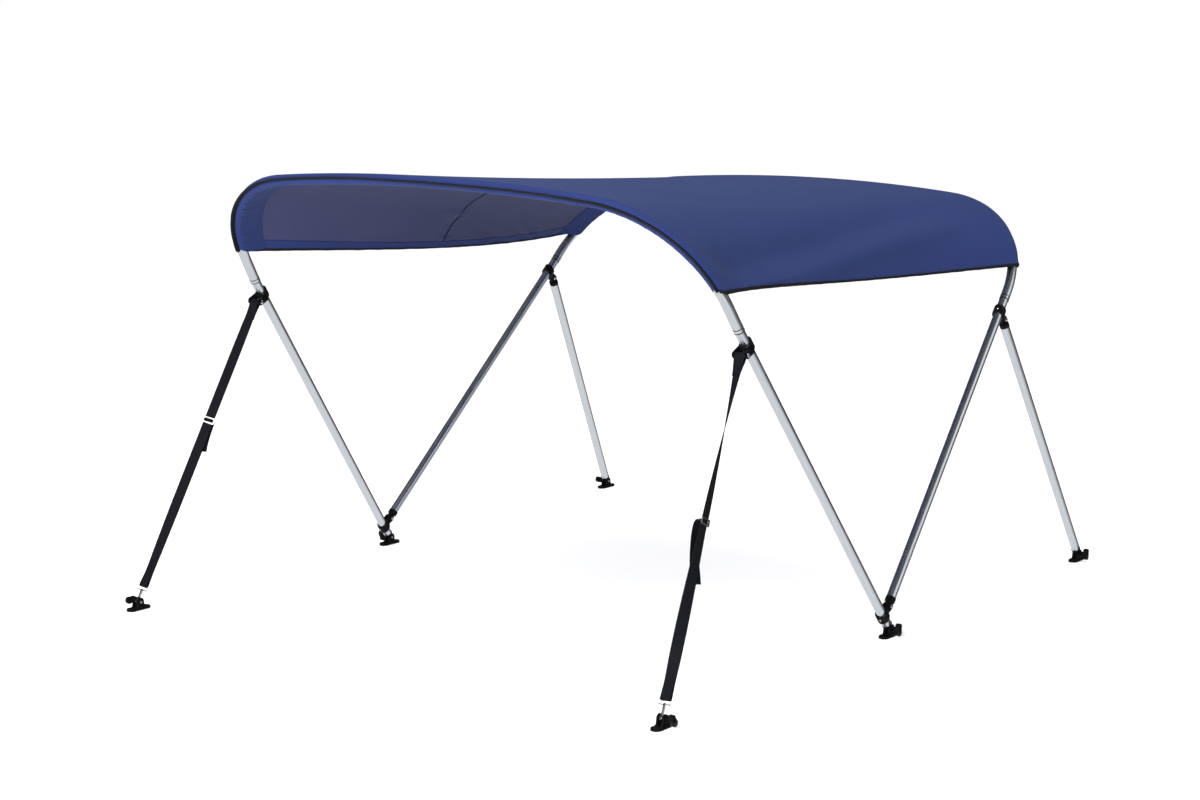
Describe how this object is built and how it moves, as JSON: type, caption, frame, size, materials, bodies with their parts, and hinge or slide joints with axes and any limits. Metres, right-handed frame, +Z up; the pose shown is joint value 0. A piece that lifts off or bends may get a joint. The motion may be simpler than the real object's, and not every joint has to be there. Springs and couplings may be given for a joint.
{
  "type": "bimini top with bow frame",
  "caption": "Blue boat bimini top stretched over a folding aluminium bow frame, with front straps, rear support poles and black nylon deck hinges.",
  "frame": {"origin": "on the deck, under the middle of the whole part", "axes": "+Z up from the deck, Y along the boat with the strapped front bow toward -Y, X across the boat"},
  "size_m": [1.579, 1.898, 1.049],
  "materials": {
    "canopy_fabric": "matte woven polyester with a slight satin sheen, royal blue",
    "edging_fabric": "matte black woven edging",
    "webbing_fabric": "matte ribbed black webbing",
    "tube_aluminium": "clear anodised, satin, drawn lengthwise",
    "nylon_black": "moulded black nylon, slightly glossy",
    "bright_steel": "polished stainless steel",
    "dull_steel": "dull grey plated steel"
  },
  "bodies": {
    "frame": {"canopy_cloth": "canopy_fabric", "front_pocket": "canopy_fabric", "front_piping": "edging_fabric", "front_arch": "tube_aluminium", "rear_pocket": "canopy_fabric", "rear_piping": "edging_fabric", "rear_arch": "tube_aluminium", "left_binding": "edging_fabric", "left_main_leg": "tube_aluminium", "left_rear_leg": "tube_aluminium", "left_pole": "tube_aluminium", "left_main_eye": "nylon_black", "left_rear_eye": "nylon_black", "left_pole_foot_eye": "nylon_black", "left_pole_top_eye": "nylon_black", "left_low_jaw": "nylon_black", "left_low_bolt": "bright_steel", "left_strap_jaw": "nylon_black", "left_strap_bolt": "bright_steel", "left_pole_jaw": "nylon_black", "left_pole_bolt": "bright_steel", "left_strap_hinge": "nylon_black", "left_main_hinge": "nylon_black", "left_pole_hinge": "nylon_black", "left_strap": "webbing_fabric", "left_strap_hook": "bright_steel", "left_slider": "bright_steel", "right_binding": "edging_fabric", "right_main_leg": "tube_aluminium", "right_rear_leg": "tube_aluminium", "right_pole": "tube_aluminium", "right_main_eye": "nylon_black", "right_rear_eye": "nylon_black", "right_pole_foot_eye": "nylon_black", "right_pole_top_eye": "nylon_black", "right_low_jaw": "nylon_black", "right_low_bolt": "bright_steel", "right_strap_jaw": "nylon_black", "right_strap_bolt": "bright_steel", "right_pole_jaw": "nylon_black", "right_pole_bolt": "bright_steel", "right_strap_hinge": "nylon_black", "right_main_hinge": "nylon_black", "right_pole_hinge": "nylon_black", "right_strap": "webbing_fabric", "right_strap_hook": "bright_steel", "right_slider": "dull_steel"},
    "left_strap_thumb_screw": {"left_strap_knob": "nylon_black", "left_strap_pin": "bright_steel"},
    "left_main_thumb_screw": {"left_main_knob": "nylon_black", "left_main_pin": "bright_steel"},
    "left_pole_thumb_screw": {"left_pole_knob": "nylon_black", "left_pole_pin": "bright_steel"},
    "right_strap_thumb_screw": {"right_strap_knob": "nylon_black", "right_strap_pin": "bright_steel"},
    "right_main_thumb_screw": {"right_main_knob": "nylon_black", "right_main_pin": "bright_steel"},
    "right_pole_thumb_screw": {"right_pole_knob": "nylon_black", "right_pole_pin": "bright_steel"}
  },
  "joints": [
    {"name": "left_strap_knob_turn", "type": "hinge", "parent": "frame", "child": "left_strap_thumb_screw", "pos_m": [-0.76, -0.916, 0.019], "axis": [1, 0, 0], "continuous": true},
    {"name": "left_main_knob_turn", "type": "hinge", "parent": "frame", "child": "left_main_thumb_screw", "pos_m": [-0.76, -0.036, 0.019], "axis": [1, 0, 0], "continuous": true},
    {"name": "left_pole_knob_turn", "type": "hinge", "parent": "frame", "child": "left_pole_thumb_screw", "pos_m": [-0.76, 0.916, 0.019], "axis": [1, 0, 0], "continuous": true},
    {"name": "right_strap_knob_turn", "type": "hinge", "parent": "frame", "child": "right_strap_thumb_screw", "pos_m": [0.76, -0.916, 0.019], "axis": [1, 0, 0], "continuous": true},
    {"name": "right_main_knob_turn", "type": "hinge", "parent": "frame", "child": "right_main_thumb_screw", "pos_m": [0.76, -0.036, 0.019], "axis": [1, 0, 0], "continuous": true},
    {"name": "right_pole_knob_turn", "type": "hinge", "parent": "frame", "child": "right_pole_thumb_screw", "pos_m": [0.76, 0.916, 0.019], "axis": [1, 0, 0], "continuous": true}
  ]
}
